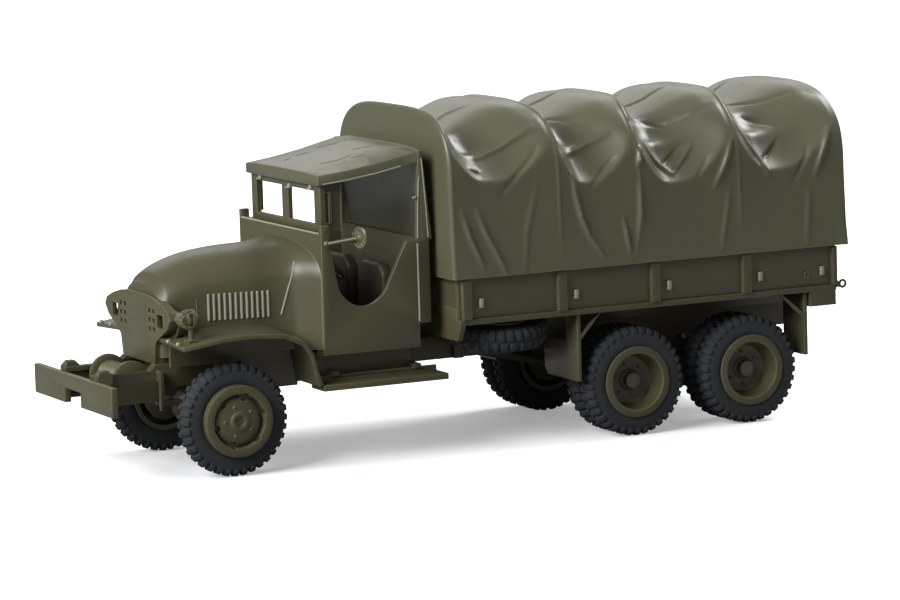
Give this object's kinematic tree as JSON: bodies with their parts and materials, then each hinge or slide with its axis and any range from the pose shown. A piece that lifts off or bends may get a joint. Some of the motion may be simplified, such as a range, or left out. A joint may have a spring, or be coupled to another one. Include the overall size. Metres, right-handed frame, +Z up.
{
  "type": "military cargo truck scale model",
  "caption": "Small plastic model of a six-wheeled army cargo truck with an open-sided cab, a winch at the bumper and a hooped cover over the bed; its wheels turn.",
  "frame": {"origin": "on the floor, midway between the bumper's front face and the rearmost ring, on the truck's centre line", "axes": "+X forward, +Y to the truck's left, +Z up; the wheels turn about Y"},
  "size_m": [0.0775, 0.026, 0.0329],
  "materials": {
    "olive_plastic": "satin olive drab moulded plastic",
    "canvas_plastic": "satin olive drab moulded plastic with moulded folds",
    "tyre_black": "satin black moulded tyre"
  },
  "bodies": {
    "truck": {"chassis_frame": "olive_plastic", "front_axle": "olive_plastic", "middle_axle": "olive_plastic", "rear_axle": "olive_plastic", "front_springs": "olive_plastic", "bogie_springs": "olive_plastic", "engine_block": "olive_plastic", "transfer_case": "olive_plastic", "drive_shafts": "olive_plastic", "bumper": "olive_plastic", "winch": "olive_plastic", "hood": "olive_plastic", "cowl": "olive_plastic", "radiator": "olive_plastic", "brush_guard": "olive_plastic", "headlamps": "olive_plastic", "caged_lamp": "olive_plastic", "fender_left": "olive_plastic", "fender_right": "olive_plastic", "running_boards": "olive_plastic", "cab_tub": "olive_plastic", "windscreen_frame": "olive_plastic", "cab_soft_top": "canvas_plastic", "seats": "olive_plastic", "steering_wheel": "olive_plastic", "mirror": "olive_plastic", "bed_floor": "olive_plastic", "bed_side_left": "olive_plastic", "bed_side_right": "olive_plastic", "bed_front_board": "olive_plastic", "tailgate": "olive_plastic", "tail_rings": "olive_plastic", "rope_cleats": "olive_plastic", "tarpaulin": "canvas_plastic", "splash_guards": "olive_plastic", "spare_tyre": "tyre_black", "spare_rim": "olive_plastic", "spare_carrier": "olive_plastic", "fuel_tank": "olive_plastic", "silencer": "olive_plastic", "tail_lamps": "olive_plastic", "tow_pintle": "olive_plastic"},
    "front_wheel_left": {"front_rim_left": "olive_plastic", "front_tyre_left": "tyre_black"},
    "front_wheel_right": {"front_rim_right": "olive_plastic", "front_tyre_right": "tyre_black"},
    "middle_wheel_left": {"middle_rim_left": "olive_plastic", "middle_tyre_left": "tyre_black"},
    "middle_wheel_right": {"middle_rim_right": "olive_plastic", "middle_tyre_right": "tyre_black"},
    "rear_wheel_left": {"rear_rim_left": "olive_plastic", "rear_tyre_left": "tyre_black"},
    "rear_wheel_right": {"rear_rim_right": "olive_plastic", "rear_tyre_right": "tyre_black"}
  },
  "joints": [
    {"name": "front_spin_left", "type": "hinge", "parent": "truck", "child": "front_wheel_left", "pos_m": [0.02632, 0.00877, 0.0053], "axis": [0, 1, 0], "continuous": true},
    {"name": "front_spin_right", "type": "hinge", "parent": "truck", "child": "front_wheel_right", "pos_m": [0.02632, -0.00877, 0.0053], "axis": [0, 1, 0], "continuous": true},
    {"name": "middle_spin_left", "type": "hinge", "parent": "truck", "child": "middle_wheel_left", "pos_m": [-0.01488, 0.00935, 0.0053], "axis": [0, 1, 0], "continuous": true},
    {"name": "middle_spin_right", "type": "hinge", "parent": "truck", "child": "middle_wheel_right", "pos_m": [-0.01488, -0.00935, 0.0053], "axis": [0, 1, 0], "continuous": true},
    {"name": "rear_spin_left", "type": "hinge", "parent": "truck", "child": "rear_wheel_left", "pos_m": [-0.02758, 0.00935, 0.0053], "axis": [0, 1, 0], "continuous": true},
    {"name": "rear_spin_right", "type": "hinge", "parent": "truck", "child": "rear_wheel_right", "pos_m": [-0.02758, -0.00935, 0.0053], "axis": [0, 1, 0], "continuous": true}
  ]
}
